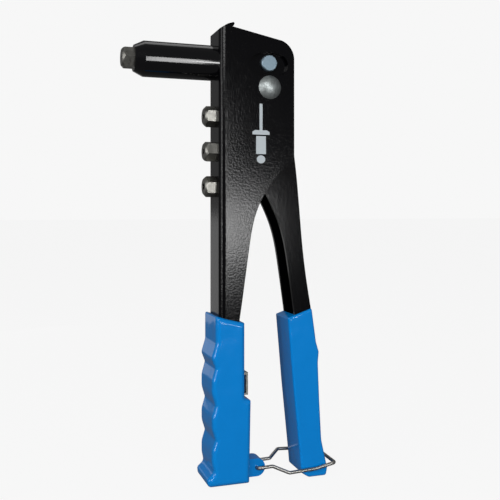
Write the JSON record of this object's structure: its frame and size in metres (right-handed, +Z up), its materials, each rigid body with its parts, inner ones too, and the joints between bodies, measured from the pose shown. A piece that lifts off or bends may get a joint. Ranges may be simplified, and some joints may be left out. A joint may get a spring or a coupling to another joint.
{
  "type": "hand riveter",
  "caption": "Hand riveter that sets blind rivets: pressed-steel body with a pulling nose, two sleeved handles and a wire latch.",
  "frame": {"origin": "centre of the fitted nosepiece's mouth, where the rivet's mandrel goes in", "axes": "+X from the nose back into the body along the nose axis, +Z up, away from the handles' ends, Y across the width with the pivot's domed head on the -Y side"},
  "size_m": [0.126, 0.0307, 0.2652],
  "materials": {
    "black_paint": "semi-gloss textured",
    "steel": "turned, nickel plated",
    "zinc": "satin zinc",
    "wire": "drawn wire",
    "bronze": "sintered",
    "blue_vinyl": "glossy"
  },
  "bodies": {
    "frame": {"body_channel": "black_paint", "nose_barrel": "black_paint", "barrel_lock_nut": "steel", "spring_seat": "steel", "fitted_nosepiece": "steel", "spare_nosepiece_1": "steel", "spare_nosepiece_2": "steel", "spare_nosepiece_3": "steel", "pivot_pin": "zinc", "pivot_washer": "zinc", "pivot_circlip": "steel", "front_grip": "blue_vinyl", "stop_tab": "steel", "return_spring": "steel"},
    "lever": {"lever_channel": "black_paint", "pivot_bush": "bronze", "drive_pin": "zinc", "lever_grip": "blue_vinyl"},
    "jaw_set": {"jaw_case": "steel", "pull_rod": "steel", "jaw_pusher": "steel", "jaw_spring": "steel", "gripping_jaw_1": "steel", "gripping_jaw_2": "steel", "gripping_jaw_3": "steel"},
    "latch": {"latch_wire": "wire"}
  },
  "joints": [
    {"name": "lever_pivot", "type": "hinge", "parent": "frame", "child": "lever", "pos_m": [0.084, 0, -0.0142], "axis": [0, 1, 0], "range_deg": [0, 5], "stiffness_Nm_per_rad": 0.8, "springref_deg": -24.98},
    {"name": "jaw_slide", "type": "slide", "parent": "frame", "child": "jaw_set", "axis": [1, 0, 0], "range_m": [0, 0.0013]},
    {"name": "latch_swing", "type": "hinge", "parent": "frame", "child": "latch", "pos_m": [0.0783, 0, -0.236], "axis": [0, 1, 0], "range_deg": [0, 96]}
  ],
  "couplings": [
    {"joint": "jaw_slide", "follows": "lever_pivot", "m_per_rad": 0.0142},
    {"joint": "latch_swing", "follows": "lever_pivot", "ratio": 19}
  ]
}
